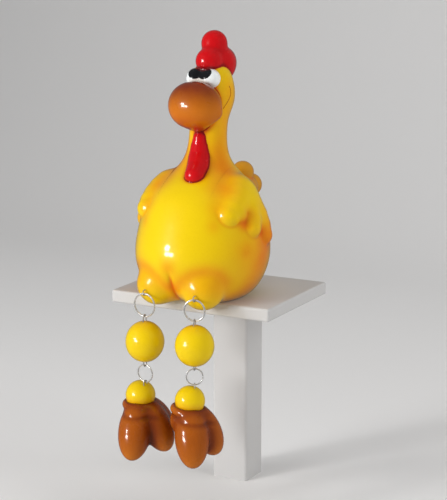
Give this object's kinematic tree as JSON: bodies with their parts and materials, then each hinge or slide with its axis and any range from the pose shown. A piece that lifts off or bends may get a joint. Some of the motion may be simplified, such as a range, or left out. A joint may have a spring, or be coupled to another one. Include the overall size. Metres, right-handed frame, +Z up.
{
  "type": "shelf sitting hen figurine",
  "caption": "Glazed ceramic hen that sits on a shelf edge, with dangling legs of glazed balls and feet joined by wire rings.",
  "frame": {"origin": "centre of the flat seat under the body, on the seat plane", "axes": "+Z up, the hen faces -Y, +X is the hen's own left"},
  "size_m": [0.0992, 0.1526, 0.2887],
  "materials": {
    "yellow_glaze": "high gloss over airbrushed orange shading",
    "red_glaze": "high gloss",
    "brown_glaze": "high gloss, orange-brown",
    "tan_glaze": "high gloss, orange shading over tan",
    "white_glaze": "high gloss",
    "black_glaze": "high gloss",
    "steel_wire": "bright drawn wire, slightly dull"
  },
  "bodies": {
    "hen": {"body_shell": "yellow_glaze", "comb": "red_glaze", "beak": "brown_glaze", "wattle": "red_glaze", "tail": "tan_glaze", "left_wing": "yellow_glaze", "right_wing": "yellow_glaze", "left_eye": "white_glaze", "right_eye": "white_glaze", "left_pupil": "black_glaze", "right_pupil": "black_glaze", "left_thigh_eyelet": "steel_wire", "right_thigh_eyelet": "steel_wire"},
    "left_upper_ring": {"left_upper_ring": "steel_wire"},
    "left_knee": {"left_knee_ball": "yellow_glaze", "left_knee_top_eyelet": "steel_wire", "left_knee_bottom_eyelet": "steel_wire"},
    "left_lower_ring": {"left_lower_ring": "steel_wire"},
    "left_foot": {"left_foot": "brown_glaze", "left_ankle_ball": "yellow_glaze", "left_ankle_eyelet": "steel_wire"},
    "right_upper_ring": {"right_upper_ring": "steel_wire"},
    "right_knee": {"right_knee_ball": "yellow_glaze", "right_knee_top_eyelet": "steel_wire", "right_knee_bottom_eyelet": "steel_wire"},
    "right_lower_ring": {"right_lower_ring": "steel_wire"},
    "right_foot": {"right_foot": "brown_glaze", "right_ankle_ball": "yellow_glaze", "right_ankle_eyelet": "steel_wire"}
  },
  "joints": [
    {"name": "left_hip_swing", "type": "hinge", "parent": "hen", "child": "left_upper_ring", "pos_m": [0.0194, -0.0474, 0.0074], "axis": [-0.9781, -0.2079, 0], "range_deg": [-10, 90]},
    {"name": "left_knee_swing", "type": "hinge", "parent": "left_upper_ring", "child": "left_knee", "pos_m": [0.0194, -0.0474, -0.007], "axis": [0.9781, 0.2079, 0], "range_deg": [-75, 50]},
    {"name": "left_lower_ring_swing", "type": "hinge", "parent": "left_knee", "child": "left_lower_ring", "pos_m": [0.0194, -0.0474, -0.0402], "axis": [-0.866, -0.5, 0], "range_deg": [-75, 75]},
    {"name": "left_ankle_swing", "type": "hinge", "parent": "left_lower_ring", "child": "left_foot", "pos_m": [0.0194, -0.0474, -0.0514], "axis": [0.866, 0.5, 0], "range_deg": [-70, 70]},
    {"name": "right_hip_swing", "type": "hinge", "parent": "hen", "child": "right_upper_ring", "pos_m": [-0.0194, -0.0474, 0.0074], "axis": [-1, 0, 0], "range_deg": [-10, 90]},
    {"name": "right_knee_swing", "type": "hinge", "parent": "right_upper_ring", "child": "right_knee", "pos_m": [-0.0194, -0.0474, -0.0084], "axis": [1, 0, 0], "range_deg": [-75, 50]},
    {"name": "right_lower_ring_swing", "type": "hinge", "parent": "right_knee", "child": "right_lower_ring", "pos_m": [-0.0194, -0.0474, -0.0427], "axis": [-0.9945, 0.1045, 0], "range_deg": [-75, 75]},
    {"name": "right_ankle_swing", "type": "hinge", "parent": "right_lower_ring", "child": "right_foot", "pos_m": [-0.0194, -0.0474, -0.0548], "axis": [0.9945, -0.1045, 0], "range_deg": [-70, 70]}
  ]
}
